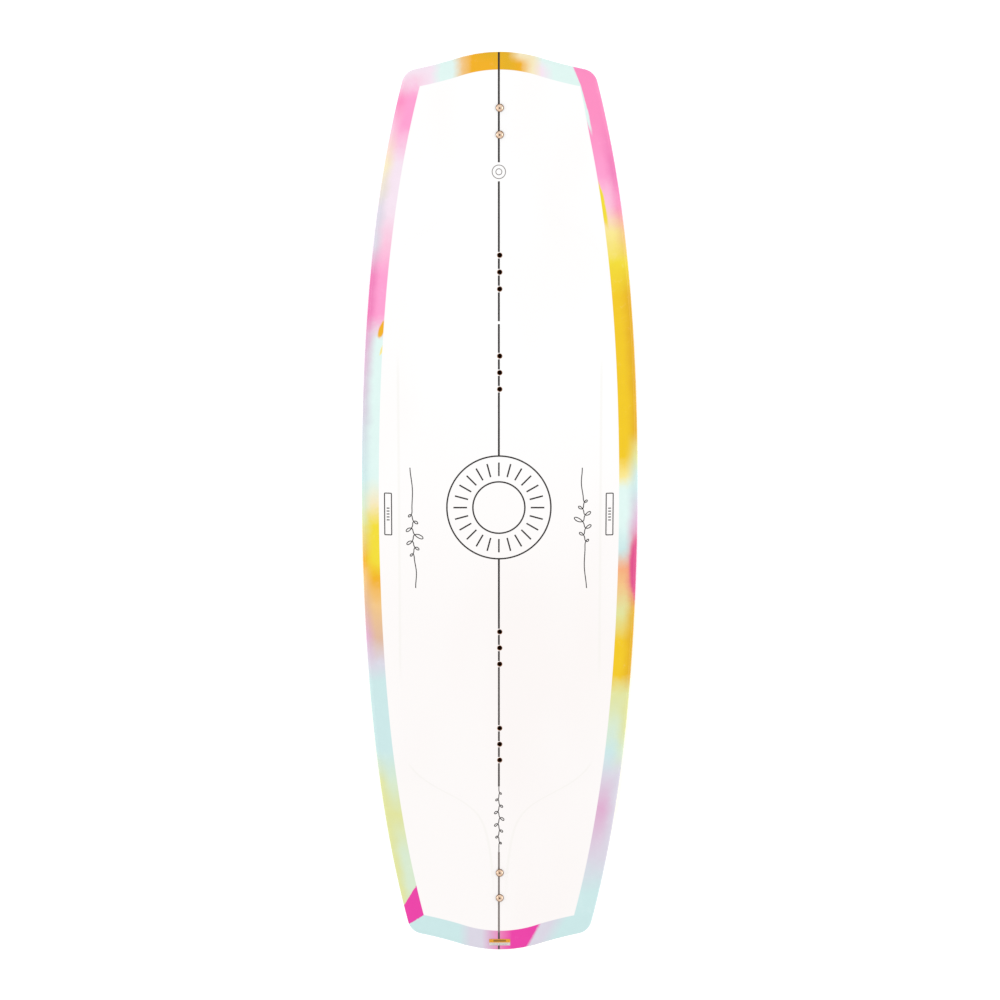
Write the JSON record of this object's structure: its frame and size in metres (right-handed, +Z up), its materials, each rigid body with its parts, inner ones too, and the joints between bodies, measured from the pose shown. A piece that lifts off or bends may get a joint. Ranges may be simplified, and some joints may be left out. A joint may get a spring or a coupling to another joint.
{
  "type": "wakeboard",
  "caption": "Twin-tip wakeboard with a bare deck, threaded binding inserts down the middle and a bolted centre fin under each end.",
  "frame": {"origin": "middle of the flat spot of the base, on the surface the board lies on, under the middle of the board's box", "axes": "+X across the board to the right, +Y along it to the tip, +Z up out of the deck"},
  "size_m": [0.4266, 1.38, 0.0685],
  "materials": {
    "top_sheet": "glossy printed top sheet, white with a tie-dye border",
    "rail": "satin moulded rail dyed in the border colours",
    "base_sheet": "smooth sintered base sheet, glossy",
    "glass_laminate": "woven glass cloth in resin",
    "foam": "closed-cell polyurethane foam",
    "wood": "sawn light wood, unfinished",
    "block": "resin-bonded fibreboard",
    "brass": "machined copper-coloured brass",
    "screw": "polished rose-gold plating",
    "fin": "moulded glass-filled nylon",
    "label": "plain foil label"
  },
  "bodies": {
    "root": {"base_laminate": "glass_laminate", "base_sheet": "base_sheet", "core_bend_tail": "foam", "core_bend_tip": "foam", "core_end_tail": "foam", "core_end_tip": "foam", "core_left_tail": "foam", "core_left_tip": "foam", "core_left_waist": "foam", "core_pad_tail": "foam", "core_pad_tip": "foam", "core_right_tail": "foam", "core_right_tip": "foam", "core_right_waist": "foam", "core_waist": "foam", "deck_laminate": "glass_laminate", "fin_block_tail": "block", "fin_block_tip": "block", "fin_nut_tail_inner": "brass", "fin_nut_tail_outer": "brass", "fin_nut_tip_inner": "brass", "fin_nut_tip_outer": "brass", "fin_screw_tail_inner": "screw", "fin_screw_tail_outer": "screw", "fin_screw_tip_inner": "screw", "fin_screw_tip_outer": "screw", "fin_tail": "fin", "fin_tip": "fin", "insert_block_tail_inner": "block", "insert_block_tail_outer": "block", "insert_block_tip_inner": "block", "insert_block_tip_outer": "block", "insert_tail_inner_1": "brass", "insert_tail_inner_2": "brass", "insert_tail_inner_3": "brass", "insert_tail_outer_1": "brass", "insert_tail_outer_2": "brass", "insert_tail_outer_3": "brass", "insert_tip_inner_1": "brass", "insert_tip_inner_2": "brass", "insert_tip_inner_3": "brass", "insert_tip_outer_1": "brass", "insert_tip_outer_2": "brass", "insert_tip_outer_3": "brass", "rail": "rail", "stringer_left": "wood", "stringer_right": "wood", "tail_label": "label", "top_sheet": "top_sheet"}
  },
  "joints": []
}
